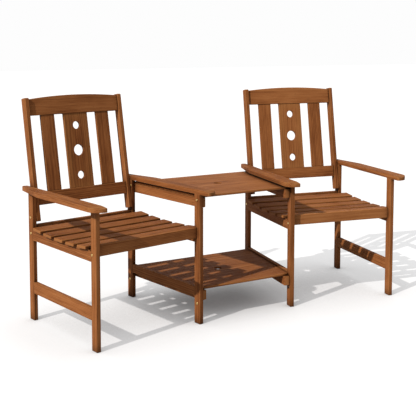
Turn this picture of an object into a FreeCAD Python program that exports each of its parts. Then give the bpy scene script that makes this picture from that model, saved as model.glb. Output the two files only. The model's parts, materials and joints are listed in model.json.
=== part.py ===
"""Companion seat bench: two slatted armchairs turned a little towards each other,
joined by a small shared table with a shelf below it. All wood, bolted together.

Frame: millimetres, +Z up, the front of the bench faces -Y, +X runs along its width.
The origin lies on the floor in the middle of the bench's plan.

Each chair is drawn in its own plan frame. There, across runs from the table-side
face of the inner legs to the outer legs, and back runs from the front legs' faces
to the rear. The left chair is the right one seen in a mirror, so its across
distances count the other way.
"""
import FreeCAD, Part
import math
import os

import Sketcher

# Driving dimensions: millimetres, and degrees for the two angles.
SIZES = {
    # Plan of the whole bench
    "chair_turn": 10.0,
    "table_half_width": 219.5,
    "chair_width": 514.0,
    "chair_depth": 514.0,
    # Legs and side frames. Each drop is measured down from the tops of the legs.
    "leg_thick": 17.5,
    "leg_deep": 36.0,
    "leg_height": 538.0,
    "seat_rail_drop": 200.0,
    "seat_dip_drop": 162.5,
    "seat_dip_radius": 2050.0,
    "seat_dip_back": 244.0,
    "rail_relief_long": 20.0,
    "rail_relief_deep": 8.0,
    "stretcher_bottom": 115.0,
    "stretcher_height": 48.0,
    "inner_stretcher_height": 38.0,
    # Cross rails of the seat
    "apron_drop": 181.0,
    "apron_height": 44.0,
    "apron_setback": 19.0,
    "rear_rail_setback": 10.0,
    "cross_rail_thick": 18.0,
    # Seat slats
    "slat_count": 5,
    "slat_wide": 61.0,
    "slat_thick": 12.0,
    "slat_front_gap": 16.0,
    "slat_rear_gap": 24.0,
    "slat_overhang": 14.5,
    # Back
    "recline": 9.9,
    "stile_lead": 6.2,
    "back_foot_drop": 122.0,
    "stile_wide": 18.0,
    "stile_deep": 34.0,
    "stile_long": 514.0,
    "back_rail_thick": 18.0,
    "lower_rail_up": 65.0,
    "lower_rail_wide": 54.0,
    "top_rail_up": 439.5,
    "top_rail_end_wide": 69.0,
    "top_rail_rise": 12.0,
    "back_slat_thick": 12.0,
    "back_slat_wide": 65.0,
    "back_slat_offset": 136.0,
    "centre_slat_wide": 117.0,
    "middle_hole_radius": 24.0,
    "small_hole_radius": 17.0,
    "hole_pitch": 108.0,
    # Arms
    "arm_thick": 18.0,
    "arm_overhang": 41.0,
    "arm_front": 57.0,
    "arm_taper_long": 184.0,
    "arm_rear": 42.0,
    "arm_rear_overhang": 7.0,
    "arm_outer_corner": 50.0,
    "arm_inner_corner": 10.0,
    # Table, shelf and their rails
    "board_thick": 10.0,
    "board_rail_thick": 26.0,
    "board_rail_height": 40.0,
    "board_rail_inset": 4.0,
    "board_side_gap": 1.0,
    "table_arm_gap": 8.0,
    "shelf_rail_bottom": 95.0,
    "table_front_inset": 20.0,
    "table_rear_inset": 36.0,
    "shelf_front_inset": 26.0,
    "shelf_rear_inset": 33.0,
    "pole_hole_radius": 18.0,
    "pole_hole_back": 250.0,
    # Edges
    "edge_ease": 1.5,
    "stile_top_ease": 4.0,
    "board_rail_corner": 6.0,
    "arm_edge_chamfer": 2.5,
    "foot_chamfer": 2.0,
    # Fasteners
    "bolt_radius": 3.0,
    "bolt_clearance": 0.3,
    "bolt_head_radius": 5.5,
    "bolt_head_thick": 2.0,
    "bore_spare": 1.5,
    "rail_bolt_long": 42.0,
    "rail_bolt_drop": 172.0,
    "stile_bolt_long": 30.0,
    "stile_bolt_in": 22.0,
    "stile_bolt_along": 20.0,
    "table_bolt_long": 36.0,
    "table_bolt_drop": 7.0,
    "leg_bolt_long": 14.0,
    "leg_bolt_up": 84.0,
    "table_bolt_front": 20.0,
    "table_bolt_rear_in": 4.5,
    "leg_nut_wall": 1.5,
    "leg_nut_long": 5.0,
    "barrel_radius": 5.0,
    "barrel_long": 14.0,
    "barrel_reach": 22.0,
}

RIGHT = 1
LEFT = -1
SIDE_NAMES = {RIGHT: "right", LEFT: "left"}

doc = FreeCAD.newDocument("companion_seat_bench")
sheet = doc.addObject("Spreadsheet::Sheet", "Sizes")
parts = []


class Dim:
    """A size that knows both its number and the sheet formula that gives it."""

    def __init__(self, value, text):
        self.value = float(value)
        self.text = text

    @staticmethod
    def of(other):
        """Return other as a Dim."""
        return other if isinstance(other, Dim) else Dim(other, repr(float(other)))

    def _join(self, other, sign, value):
        return Dim(value, f"({self.text} {sign} {Dim.of(other).text})")

    def __add__(self, other):
        return self._join(other, "+", self.value + Dim.of(other).value)

    def __sub__(self, other):
        return self._join(other, "-", self.value - Dim.of(other).value)

    def __mul__(self, other):
        return self._join(other, "*", self.value * Dim.of(other).value)

    def __truediv__(self, other):
        return self._join(other, "/", self.value / Dim.of(other).value)

    def __neg__(self):
        return Dim(0, "0") - self


def fill_sheet():
    """Write every driving dimension to the sheet and return them as Dims."""
    dims = {}
    for row, (name, value) in enumerate(SIZES.items(), start=1):
        sheet.set(f"A{row}", name)
        sheet.set(f"B{row}", str(value))
        sheet.setAlias(f"B{row}", name)
        dims[name] = Dim(value, f"Sizes.{name}")
    doc.recompute()
    return dims


D = fill_sheet()


# Sketches and solid features

def vec(x, y, z):
    return FreeCAD.Vector(x, y, z)


def new_body(name):
    body = doc.addObject("PartDesign::Body", name)
    body.Label = name
    return body


def new_sketch(body, role, offset=None):
    """Add a sketch on one of the body's own origin planes, moved off it by offset."""
    sketch = body.newObject("Sketcher::SketchObject", f"{body.Name}_sketch")
    plane = next(f for f in body.Origin.OriginFeatures if f.Role == role)
    sketch.AttachmentSupport = [(plane, "")]
    sketch.MapMode = "FlatFace"
    if offset is not None:
        sketch.setExpression("AttachmentOffset.Base.z", offset.text)
    return sketch


def bind(sketch, index, dim):
    sketch.setExpression(f"Constraints[{index}]", dim.text)


def draw_outline(sketch, points, arcs=None):
    """Draw a closed outline through points, each corner bound to the sheet.

    points is a list of pairs of Dims. arcs gives, for the side that starts at a
    corner, the arc's radius and the side it bulges to: +1 left of travel, -1 right.
    """
    arcs = arcs or {}
    corners = [(Dim.of(x), Dim.of(y)) for x, y in points]
    spots = [vec(x.value, y.value, 0) for x, y in corners]
    count = len(spots)
    ends = []
    for index, start in enumerate(spots):
        stop = spots[(index + 1) % count]
        if index not in arcs:
            sketch.addGeometry(Part.LineSegment(start, stop), False)
            ends.append((1, 2))
            continue
        radius, bulge = arcs[index]
        chord = stop - start
        left = vec(-chord.y, chord.x, 0).normalize()
        half = chord.Length / 2
        rise = radius.value - math.sqrt(radius.value ** 2 - half ** 2)
        middle = start + chord * 0.5 + left * (bulge * rise)
        if bulge < 0:
            sketch.addGeometry(Part.Arc(start, middle, stop), False)
            ends.append((1, 2))
        else:
            sketch.addGeometry(Part.Arc(stop, middle, start), False)
            ends.append((2, 1))
    for index in range(count):
        after = (index + 1) % count
        sketch.addConstraint(Sketcher.Constraint(
            "Coincident", index, ends[index][1], after, ends[after][0]))
    for index, (x, y) in enumerate(corners):
        for axis, dim in (("DistanceX", x), ("DistanceY", y)):
            made = sketch.addConstraint(Sketcher.Constraint(
                axis, -1, 1, index, ends[index][0], dim.value))
            bind(sketch, made, dim)
    for index, (radius, _) in arcs.items():
        made = sketch.addConstraint(Sketcher.Constraint("Radius", index, radius.value))
        bind(sketch, made, radius)


def draw_circles(sketch, centres, radius):
    """Draw circles of one radius, each centre bound to the sheet."""
    for x, y in centres:
        x, y = Dim.of(x), Dim.of(y)
        circle = Part.Circle(vec(x.value, y.value, 0), vec(0, 0, 1), radius.value)
        made = sketch.addGeometry(circle, False)
        for axis, dim in (("DistanceX", x), ("DistanceY", y)):
            index = sketch.addConstraint(Sketcher.Constraint(axis, -1, 1, made, 3, dim.value))
            bind(sketch, index, dim)
        index = sketch.addConstraint(Sketcher.Constraint("Radius", made, radius.value))
        bind(sketch, index, radius)


def pad(body, sketch, length):
    feature = body.newObject("PartDesign::Pad", f"{body.Name}_pad")
    feature.Profile = sketch
    feature.setExpression("Length", length.text)
    sketch.Visibility = False
    doc.recompute()
    return feature


def cut_through(body, sketch):
    """Cut a sketch through the whole body both ways, and make sure that it cut."""
    before = body.Shape.Volume
    feature = body.newObject("PartDesign::Pocket", f"{body.Name}_pocket")
    feature.Profile = sketch
    feature.Type = "ThroughAll"
    feature.Midplane = True
    doc.recompute()
    if not body.Shape.Volume < before:
        raise RuntimeError(f"{body.Label}: the cut removed nothing")
    return feature


def bore(body, role, offset, spots, radius, depth, forward):
    """Drill blind holes from a plane, forward along its normal or against it."""
    before = body.Shape.Volume
    sketch = new_sketch(body, role, Dim.of(offset))
    draw_circles(sketch, spots, radius)
    feature = body.newObject("PartDesign::Pocket", f"{body.Name}_bore")
    feature.Profile = sketch
    feature.setExpression("Length", depth.text)
    feature.Reversed = forward
    doc.recompute()
    drilled = before - body.Shape.Volume
    full = len(spots) * math.pi * radius.value ** 2 * depth.value
    if drilled < 0.25 * full:
        raise RuntimeError(f"{body.Label}: a bore missed the piece")
    return feature


def bolt_bore():
    return D["bolt_radius"] + D["bolt_clearance"]


def leg_nut_radius():
    return D["bolt_radius"] + D["leg_nut_wall"]


def pick_edges(shape, wanted):
    return [f"Edge{n}" for n, edge in enumerate(shape.Edges, start=1) if wanted(edge)]


def dress(body, kind, size_name, wanted, size):
    """Round or chamfer the edges of the body that wanted picks."""
    base = body.Tip
    names = pick_edges(base.Shape, wanted)
    if not names:
        raise RuntimeError(f"{body.Label}: no edge to dress")
    feature = body.newObject(f"PartDesign::{kind}", f"{body.Name}_{kind.lower()}")
    feature.Base = (base, names)
    feature.setExpression(size_name, size.text)
    doc.recompute()
    return feature


def round_edges(body, wanted, radius):
    return dress(body, "Fillet", "Radius", wanted, radius)


def chamfer_edges(body, wanted, size):
    return dress(body, "Chamfer", "Size", wanted, size)


def direction(edge):
    step = edge.Vertexes[-1].Point - edge.Vertexes[0].Point
    return step.normalize() if step.Length > 1e-6 else step


def along(axis):
    """Edges that run straight along an axis."""
    def wanted(edge):
        straight = edge.Curve.TypeId == "Part::GeomLine"
        return straight and abs(direction(edge).dot(axis)) > 0.999
    return wanted


def at_height(height):
    """Edges that lie flat at a height."""
    def wanted(edge):
        box = edge.BoundBox
        return abs(box.ZMin - height) < 1e-4 and abs(box.ZMax - height) < 1e-4
    return wanted


def edges_near(point_test):
    """Edges whose middle passes the test."""
    def wanted(edge):
        return point_test(edge.valueAt((edge.FirstParameter + edge.LastParameter) / 2))
    return wanted


X_AXIS = vec(1, 0, 0)
Y_AXIS = vec(0, 1, 0)
Z_AXIS = vec(0, 0, 1)


def finish(body, placement):
    body.Placement = placement
    parts.append(body)
    return body


# Places that several pieces share

def below_leg_top(name):
    """The height above the floor of a place given by its drop from the leg tops."""
    return D["leg_height"] - D[name]


def stile_foot_back():
    """Where the front of a stile's foot stands: a little in front of the rear leg."""
    return D["chair_depth"] - D["leg_deep"] - D["stile_lead"]


def table_rail_bottom():
    table_height = D["leg_height"] - D["table_arm_gap"]
    return table_height - D["board_thick"] - D["board_rail_height"]


def table_bolt_up():
    return table_rail_bottom() + D["board_rail_height"] - D["table_bolt_drop"]


# Frames of reference

def rear_reach():
    """How far behind the chair's front plane the top of the back reaches."""
    lean = math.radians(SIZES["recline"])
    along_back = SIZES["stile_long"] * math.sin(lean)
    return stile_foot_back().value + along_back + SIZES["stile_deep"] * math.cos(lean)


def plan_middle():
    """The middle of the bench, front to back, measured from the inner legs' fronts."""
    turn = math.radians(SIZES["chair_turn"])
    corner = SIZES["arm_outer_corner"]
    back = corner - SIZES["arm_front"]
    across = SIZES["chair_width"] + SIZES["arm_overhang"] - corner
    front_most = back * math.cos(turn) - across * math.sin(turn) - corner
    rear_most = rear_reach() * math.cos(turn) - SIZES["leg_thick"] * math.sin(turn)
    return (front_most + rear_most) / 2


def table_frame():
    return FreeCAD.Placement(vec(0, -plan_middle(), 0), FreeCAD.Rotation())


def chair_frame(side):
    turn = FreeCAD.Rotation(Z_AXIS, -side * SIZES["chair_turn"])
    base = vec(side * SIZES["table_half_width"], -plan_middle(), 0)
    return FreeCAD.Placement(base, turn)


def back_frame(side):
    """The chair's back: up runs along the stiles, back runs through their depth."""
    foot = vec(0, stile_foot_back().value, below_leg_top("back_foot_drop").value)
    lean = FreeCAD.Rotation(X_AXIS, -SIZES["recline"])
    return chair_frame(side).multiply(FreeCAD.Placement(foot, lean))


def across_span(side, start, stop):
    """Turn a span across the chair into low and high x in the chair's frame."""
    start, stop = Dim.of(start), Dim.of(stop)
    return (start, stop) if side == RIGHT else (-stop, -start)


# Pieces

def box_body(name, span, back, up):
    """A straight board: span, back and up are pairs of Dims along x, y and z."""
    body = new_body(name)
    low, high = span
    sketch = new_sketch(body, "XY_Plane", Dim.of(up[0]))
    draw_outline(sketch, [(low, back[0]), (high, back[0]), (high, back[1]), (low, back[1])])
    pad(body, sketch, Dim.of(up[1]) - up[0])
    return body


def leg(name, side, across, back, bolts, inner):
    """A leg with a through hole for each bolt. bolts are pairs of back and up.

    An inner leg also holds the lowest bolt, whose nut lies in a recess on the table side.
    """
    span = across_span(side, across, across + D["leg_thick"])
    body = box_body(name, span, (back, back + D["leg_deep"]), (Dim.of(0), D["leg_height"]))
    chamfer_edges(body, along(Z_AXIS), D["edge_ease"])
    chamfer_edges(body, at_height(0), D["foot_chamfer"])
    holes = new_sketch(body, "YZ_Plane")
    draw_circles(holes, bolts, bolt_bore())
    cut_through(body, holes)
    if inner:
        bore(body, "YZ_Plane", Dim.of(0), [bolts[-1]], leg_nut_radius() + D["bolt_clearance"],
             D["leg_nut_long"] + D["bore_spare"], side == RIGHT)
    return finish(body, chair_frame(side))


def apron_bolt_back():
    return D["apron_setback"] + D["cross_rail_thick"] / 2


def rear_rail_back():
    return D["chair_depth"] - D["rear_rail_setback"] - D["cross_rail_thick"]


def rear_bolt_back():
    return rear_rail_back() + D["cross_rail_thick"] / 2


def stile_bolt_spot():
    """Where the stile's bolt goes through the rear leg: distance back and height."""
    lean = math.radians(SIZES["recline"])
    sine = Dim(math.sin(lean), "sin(Sizes.recline * 1 deg)")
    cosine = Dim(math.cos(lean), "cos(Sizes.recline * 1 deg)")
    inward = D["stile_bolt_in"]
    upward = D["stile_bolt_along"]
    back = stile_foot_back() + inward * cosine + upward * sine
    up = below_leg_top("back_foot_drop") + upward * cosine - inward * sine
    return back, up


def table_bolt_backs():
    """The distances back of a table rail's bolts: the rear one clears the back stile."""
    rear_leg = D["chair_depth"] - D["leg_deep"]
    return D["table_bolt_front"], rear_leg + D["table_bolt_rear_in"]


def leg_bolt_backs():
    """The lowest bolts go through the middle of the front and the rear inner leg."""
    return D["leg_deep"] / 2, D["chair_depth"] - D["leg_deep"] / 2


def side_seat_rail(name, side, across):
    """A side rail: its top dips in an arc under the slats, eased down at the front leg."""
    body = new_body(name)
    low, _ = across_span(side, across, across + D["leg_thick"])
    sketch = new_sketch(body, "YZ_Plane", low)
    front = D["leg_deep"]
    rear = D["chair_depth"] - D["leg_deep"]
    relief = front + D["rail_relief_long"]
    top_front = rail_top_at(relief)
    top_rear = rail_top_at(rear)
    bottom = below_leg_top("seat_rail_drop")
    draw_outline(
        sketch,
        [(front, bottom), (rear, bottom), (rear, top_rear), (relief, top_front),
         (front, top_front - D["rail_relief_deep"])],
        {2: (D["seat_dip_radius"], 1)})
    pad(body, sketch, D["leg_thick"])
    chamfer_edges(body, at_height(bottom.value), D["edge_ease"])
    return finish(body, chair_frame(side))


def rail_top_at(back):
    """Height of the dipped rail top at a distance back, on its arc."""
    reach = back - D["seat_dip_back"]
    radius = D["seat_dip_radius"]
    height = radius.value - math.sqrt(radius.value ** 2 - reach.value ** 2)
    drop = Dim(height, f"({radius.text} - sqrt({radius.text}^2 - {reach.text}^2))")
    return below_leg_top("seat_dip_drop") + drop


def stretcher(name, side, across, height):
    span = across_span(side, across, across + D["leg_thick"])
    back = (D["leg_deep"], D["chair_depth"] - D["leg_deep"])
    bottom = D["stretcher_bottom"]
    body = box_body(name, span, back, (bottom, bottom + height))
    chamfer_edges(body, along(Y_AXIS), D["edge_ease"])
    return finish(body, chair_frame(side))


def cross_rail(name, side, back, nuts_at_front):
    """A rail of the seat from leg to leg, bored at each end for a bolt and its barrel nut."""
    low, high = across_span(side, D["leg_thick"], D["chair_width"] - D["leg_thick"])
    bottom = below_leg_top("apron_drop")
    thick = D["cross_rail_thick"]
    body = box_body(name, (low, high), (back, back + thick), (bottom, bottom + D["apron_height"]))
    chamfer_edges(body, along(X_AXIS), D["edge_ease"])
    bolt_up = below_leg_top("rail_bolt_drop")
    spot = (back + thick / 2, bolt_up)
    depth = D["rail_bolt_long"] - D["leg_thick"] + D["bore_spare"]
    bore(body, "YZ_Plane", low, [spot], bolt_bore(), depth, True)
    bore(body, "YZ_Plane", high, [spot], bolt_bore(), depth, False)
    nuts = [(low + D["barrel_reach"], bolt_up), (high - D["barrel_reach"], bolt_up)]
    face = back if nuts_at_front else back + thick
    bore(body, "XZ_Plane", -face, nuts, D["barrel_radius"] + D["bolt_clearance"],
         (thick + D["barrel_long"]) / 2, not nuts_at_front)
    return finish(body, chair_frame(side))


def seat_slat(name, side, index):
    """One seat slat, resting on the arc of the two side rails."""
    body = new_body(name)
    low, high = across_span(side, -D["slat_overhang"], D["chair_width"] + D["slat_overhang"])
    sketch = new_sketch(body, "YZ_Plane", low)
    half = D["slat_wide"] / 2
    draw_outline(sketch, [(-half, 0), (half, 0), (half, D["slat_thick"]), (-half, D["slat_thick"])])
    pad(body, sketch, high - low)
    chamfer_edges(body, along(X_AXIS), D["edge_ease"])
    radius = SIZES["seat_dip_radius"]
    angle = slat_angle(index)
    to_chord = math.sqrt(radius ** 2 - (SIZES["slat_wide"] / 2) ** 2)
    back = SIZES["seat_dip_back"] + to_chord * math.sin(angle)
    up = below_leg_top("seat_dip_drop").value + radius - to_chord * math.cos(angle)
    turn = FreeCAD.Rotation(X_AXIS, math.degrees(angle))
    seat = FreeCAD.Placement(vec(0, back, up), turn)
    return finish(body, chair_frame(side).multiply(seat))


def slat_angle(index):
    """Where slat number index lies on the arc of the seat, as an angle from its dip."""
    half = SIZES["slat_wide"] / 2
    front = SIZES["leg_deep"] + SIZES["slat_front_gap"] + half
    rear = SIZES["chair_depth"] - SIZES["leg_deep"] - SIZES["slat_rear_gap"] - half
    pitch = (rear - front) / (SIZES["slat_count"] - 1)
    return (rear - index * pitch - SIZES["seat_dip_back"]) / SIZES["seat_dip_radius"]


def arm(name, side, outer):
    """An arm: straight seat-side edge, wide rounded front, outer edge drawn in to the rear."""
    body = new_body(name)
    sketch = new_sketch(body, "XY_Plane", D["leg_height"])
    wide = D["leg_thick"] + D["arm_overhang"]
    narrow = D["leg_thick"] + D["arm_rear_overhang"]
    front = -D["arm_front"]
    rear = D["chair_depth"] + D["arm_rear"]
    outline = [(Dim.of(0), front), (wide, front), (wide, rear - D["arm_taper_long"]),
               (narrow, rear), (Dim.of(0), rear)]
    edge = D["chair_width"] - D["leg_thick"] if outer else D["leg_thick"]
    sign = side if outer else -side
    corners = [(edge * side + reach * sign, back) for reach, back in outline]
    draw_outline(sketch, corners)
    pad(body, sketch, D["arm_thick"])
    taper = (rear - D["arm_taper_long"]).value
    upright = along(Z_AXIS)

    def on_seat_side(point):
        return abs(point.x - edge.value * side) < 1

    for seat_side, radius in ((False, D["arm_outer_corner"]), (True, D["arm_inner_corner"])):
        corner = edges_near(lambda p: p.y < front.value + 1 and on_seat_side(p) == seat_side)
        round_edges(body, lambda e: upright(e) and corner(e), radius)
    rear_corners = edges_near(lambda p: p.y > taper + 1)
    round_edges(body, lambda e: upright(e) and rear_corners(e), D["arm_rear_overhang"])
    top = SIZES["leg_height"] + SIZES["arm_thick"]
    chamfer_edges(body, at_height(top), D["arm_edge_chamfer"])
    return finish(body, chair_frame(side))


def stile(name, side, across):
    """A back upright, bolted to the seat side of a rear leg."""
    span = across_span(side, across, across + D["stile_wide"])
    body = box_body(name, span, (Dim.of(0), D["stile_deep"]), (Dim.of(0), D["stile_long"]))
    chamfer_edges(body, along(X_AXIS), D["stile_top_ease"])
    chamfer_edges(body, along(Z_AXIS), D["edge_ease"])
    is_inner = across.value < SIZES["chair_width"] / 2
    leg_face = span[0] if is_inner == (side == RIGHT) else span[1]
    depth = D["stile_bolt_long"] - D["leg_thick"] + D["bore_spare"]
    bore(body, "YZ_Plane", leg_face, [(D["stile_bolt_in"], D["stile_bolt_along"])], bolt_bore(),
         depth, is_inner == (side == RIGHT))
    return finish(body, back_frame(side))


def back_inner_span(side):
    """The clear width between the two stiles, as low and high x."""
    edge = D["leg_thick"] + D["stile_wide"]
    return across_span(side, edge, D["chair_width"] - edge)


def back_rail(name, side, up, wide, rise=None):
    """A rail of the back between the stiles. With rise, its top edge is an arc."""
    body = new_body(name)
    low, high = back_inner_span(side)
    setback = (D["stile_deep"] - D["back_rail_thick"]) / 2
    sketch = new_sketch(body, "XZ_Plane", -setback - D["back_rail_thick"])
    arcs = {}
    if rise is not None:
        half = (high - low) / 2
        radius = (half * half + rise * rise) / (rise * 2)
        arcs = {2: (radius, -1)}
    draw_outline(sketch, [(low, up), (high, up), (high, up + wide), (low, up + wide)], arcs)
    pad(body, sketch, D["back_rail_thick"])
    chamfer_edges(body, lambda e: e.Length > 100, D["edge_ease"])
    return finish(body, back_frame(side))


def back_slat(name, side, offset, wide, holes=False):
    """An upright slat of the back. The centre one has three round holes."""
    body = new_body(name)
    centre = D["chair_width"] / 2 + offset
    low, high = across_span(side, centre - wide / 2, centre + wide / 2)
    bottom = D["lower_rail_up"] + D["lower_rail_wide"]
    top = D["top_rail_up"]
    setback = (D["stile_deep"] - D["back_slat_thick"]) / 2
    sketch = new_sketch(body, "XZ_Plane", -setback - D["back_slat_thick"])
    draw_outline(sketch, [(low, bottom), (high, bottom), (high, top), (low, top)])
    pad(body, sketch, D["back_slat_thick"])
    chamfer_edges(body, along(Z_AXIS), D["edge_ease"])
    if holes:
        middle = (low + high) / 2
        up = (bottom + top) / 2
        for radius, ups in ((D["middle_hole_radius"], [up]),
                            (D["small_hole_radius"], [up - D["hole_pitch"], up + D["hole_pitch"]])):
            sketch = new_sketch(body, "XZ_Plane")
            draw_circles(sketch, [(middle, height) for height in ups], radius)
            cut_through(body, sketch)
    return finish(body, back_frame(side))


def build_chair(side):
    """Make the 24 wooden pieces of one chair."""
    prefix = SIDE_NAMES[side]
    inner = Dim.of(0)
    outer = D["chair_width"] - D["leg_thick"]
    front = Dim.of(0)
    rear = D["chair_depth"] - D["leg_deep"]
    front_bolts = [(apron_bolt_back(), below_leg_top("rail_bolt_drop"))]
    rear_bolts = [(rear_bolt_back(), below_leg_top("rail_bolt_drop")), stile_bolt_spot()]
    table_bolts = [[(high, table_bolt_up()), (low, D["leg_bolt_up"])]
                   for high, low in zip(table_bolt_backs(), leg_bolt_backs())]
    leg(f"{prefix}_front_inner_leg", side, inner, front, front_bolts + table_bolts[0], True)
    leg(f"{prefix}_rear_inner_leg", side, inner, rear, rear_bolts + table_bolts[1], True)
    leg(f"{prefix}_front_outer_leg", side, outer, front, front_bolts, False)
    leg(f"{prefix}_rear_outer_leg", side, outer, rear, rear_bolts, False)
    side_seat_rail(f"{prefix}_inner_seat_rail", side, inner)
    side_seat_rail(f"{prefix}_outer_seat_rail", side, outer)
    stretcher(f"{prefix}_inner_stretcher", side, inner, D["inner_stretcher_height"])
    stretcher(f"{prefix}_outer_stretcher", side, outer, D["stretcher_height"])
    cross_rail(f"{prefix}_front_apron", side, D["apron_setback"], False)
    cross_rail(f"{prefix}_rear_seat_rail", side, rear_rail_back(), True)
    for index in range(SIZES["slat_count"]):
        seat_slat(f"{prefix}_seat_slat_{index + 1}", side, index)
    arm(f"{prefix}_inner_arm", side, outer=False)
    arm(f"{prefix}_outer_arm", side, outer=True)
    stile(f"{prefix}_inner_back_stile", side, D["leg_thick"])
    stile(f"{prefix}_outer_back_stile", side, outer - D["stile_wide"])
    back_rail(f"{prefix}_lower_back_rail", side, D["lower_rail_up"], D["lower_rail_wide"])
    back_rail(f"{prefix}_top_back_rail", side, D["top_rail_up"], D["top_rail_end_wide"],
              D["top_rail_rise"])
    back_slat(f"{prefix}_inner_back_slat", side, -D["back_slat_offset"], D["back_slat_wide"])
    back_slat(f"{prefix}_centre_back_slat", side, Dim.of(0), D["centre_slat_wide"], holes=True)
    back_slat(f"{prefix}_outer_back_slat", side, D["back_slat_offset"], D["back_slat_wide"])


def side_edge_at(back):
    """Half the board's width at a distance back: its edge follows the turned chair."""
    turn = SIZES["chair_turn"]
    slope = Dim(math.tan(math.radians(turn)), "tan(Sizes.chair_turn * 1 deg)")
    cosine = Dim(math.cos(math.radians(turn)), "cos(Sizes.chair_turn * 1 deg)")
    return D["table_half_width"] + slope * back - D["board_side_gap"] / cosine


def board(name, bottom, front, rear):
    """The table top or the shelf: a wedge-shaped board with a hole for a pole."""
    body = new_body(name)
    sketch = new_sketch(body, "XY_Plane", bottom)
    at_front = side_edge_at(front)
    at_rear = side_edge_at(rear)
    draw_outline(sketch, [(-at_front, front), (at_front, front), (at_rear, rear), (-at_rear, rear)])
    pad(body, sketch, D["board_thick"])
    hole = new_sketch(body, "XY_Plane")
    draw_circles(hole, [(Dim.of(0), D["pole_hole_back"])], D["pole_hole_radius"])
    cut_through(body, hole)
    top = bottom.value + SIZES["board_thick"]
    chamfer_edges(body, lambda e: at_height(top)(e) and along(X_AXIS)(e), D["edge_ease"])
    return finish(body, table_frame())


def board_rail(name, side, bottom, bolted):
    """A rail on the table side of a chair's inner legs, under one end of a board."""
    span = across_span(side, -D["board_rail_thick"], Dim.of(0))
    back = (D["board_rail_inset"], D["chair_depth"] - D["board_rail_inset"])
    body = box_body(name, span, back, (bottom, bottom + D["board_rail_height"]))
    far = side * -D["board_rail_thick"].value
    far_side = edges_near(lambda p: abs(p.x - far) < 0.01)
    round_edges(body, lambda e: far_side(e) and along(Z_AXIS)(e), D["board_rail_corner"])
    if bolted:
        spots = [(back, table_bolt_up()) for back in table_bolt_backs()]
        depth = D["table_bolt_long"] - D["leg_thick"] + D["bore_spare"]
        bore(body, "YZ_Plane", Dim.of(0), spots, bolt_bore(), depth, side == LEFT)
    return finish(body, chair_frame(side))


def build_table():
    """Make the table top, the shelf below it and the four rails that carry them."""
    levels = {"table": table_rail_bottom(), "shelf": D["shelf_rail_bottom"]}
    for level, bottom in levels.items():
        for side in (LEFT, RIGHT):
            board_rail(f"{SIDE_NAMES[side]}_{level}_rail", side, bottom, level == "table")
    height = D["board_rail_height"]
    depth = D["chair_depth"]
    board("table_top", levels["table"] + height, D["table_front_inset"],
          depth - D["table_rear_inset"])
    board("shelf_board", levels["shelf"] + height, D["shelf_front_inset"],
          depth - D["shelf_rear_inset"])


# Fasteners: each node is a group of equal, separate pieces

def headed_bolt(length):
    """A bolt along +x with its head's seat at the origin."""
    shank = Part.makeCylinder(SIZES["bolt_radius"], length, vec(0, 0, 0), X_AXIS)
    thick = SIZES["bolt_head_thick"]
    head = Part.makeCylinder(SIZES["bolt_head_radius"], thick, vec(-thick, 0, 0), X_AXIS)
    return shank.fuse(head).removeSplitter()


def barrel_nut():
    """A cross dowel along y, centred, with its bolt's hole through it along x."""
    half = SIZES["barrel_long"] / 2
    barrel = Part.makeCylinder(SIZES["barrel_radius"], half * 2, vec(0, -half, 0), Y_AXIS)
    reach = SIZES["barrel_radius"] * 2
    hole = Part.makeCylinder(bolt_bore().value, reach * 2, vec(-reach, 0, 0), X_AXIS)
    return barrel.cut(hole)


def leg_nut():
    """A round nut along x that starts at the origin."""
    long = SIZES["leg_nut_long"]
    outside = Part.makeCylinder(leg_nut_radius().value, long, vec(0, 0, 0), X_AXIS)
    hole = Part.makeCylinder(bolt_bore().value, long, vec(0, 0, 0), X_AXIS)
    return outside.cut(hole)


def group(name, shape_of, spots):
    """One node with a copy of a fastener at each spot: side, across, back, up, heading.

    heading is +1 when the fastener points away from the table and -1 when towards it.
    """
    copies = []
    for side, across, back, up, heading in spots:
        turn = FreeCAD.Rotation(Z_AXIS, 0 if heading * side > 0 else 180)
        seat = FreeCAD.Placement(vec(side * across, back, up), turn)
        copies.append(shape_of().transformed(chair_frame(side).multiply(seat).toMatrix(), True))
    node = doc.addObject("Part::Feature", name)
    node.Label = name
    node.Shape = Part.makeCompound(copies)
    node.Placement = FreeCAD.Placement()
    parts.append(node)


def build_fasteners():
    """Make the six groups of bolts and nuts."""
    width = SIZES["chair_width"]
    rail_up = below_leg_top("rail_bolt_drop").value
    rail_backs = (apron_bolt_back().value, rear_bolt_back().value)
    outsides = [(0.0, 1), (width, -1)]
    sides = (LEFT, RIGHT)
    group("cross_rail_bolts", lambda: headed_bolt(SIZES["rail_bolt_long"]),
          [(side, across, back, rail_up, heading)
           for side in sides for across, heading in outsides for back in rail_backs])
    stile_back, stile_up = (dim.value for dim in stile_bolt_spot())
    group("stile_bolts", lambda: headed_bolt(SIZES["stile_bolt_long"]),
          [(side, across, stile_back, stile_up, heading)
           for side in sides for across, heading in outsides])
    table_backs = [dim.value for dim in table_bolt_backs()]
    leg_backs = [dim.value for dim in leg_bolt_backs()]
    seat_side = SIZES["leg_thick"]
    group("table_rail_bolts", lambda: headed_bolt(SIZES["table_bolt_long"]),
          [(side, seat_side, back, table_bolt_up().value, -1)
           for side in sides for back in table_backs])
    group("lower_leg_bolts", lambda: headed_bolt(SIZES["leg_bolt_long"]),
          [(side, seat_side, back, SIZES["leg_bolt_up"], -1)
           for side in sides for back in leg_backs])
    recess = SIZES["bore_spare"]
    group("lower_leg_nuts", leg_nut,
          [(side, recess, back, SIZES["leg_bolt_up"], 1) for side in sides for back in leg_backs])
    reach = SIZES["leg_thick"] + SIZES["barrel_reach"]
    group("barrel_nuts", barrel_nut,
          [(side, across, back, rail_up, 1)
           for side in sides for across in (reach, width - reach) for back in rail_backs])


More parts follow.
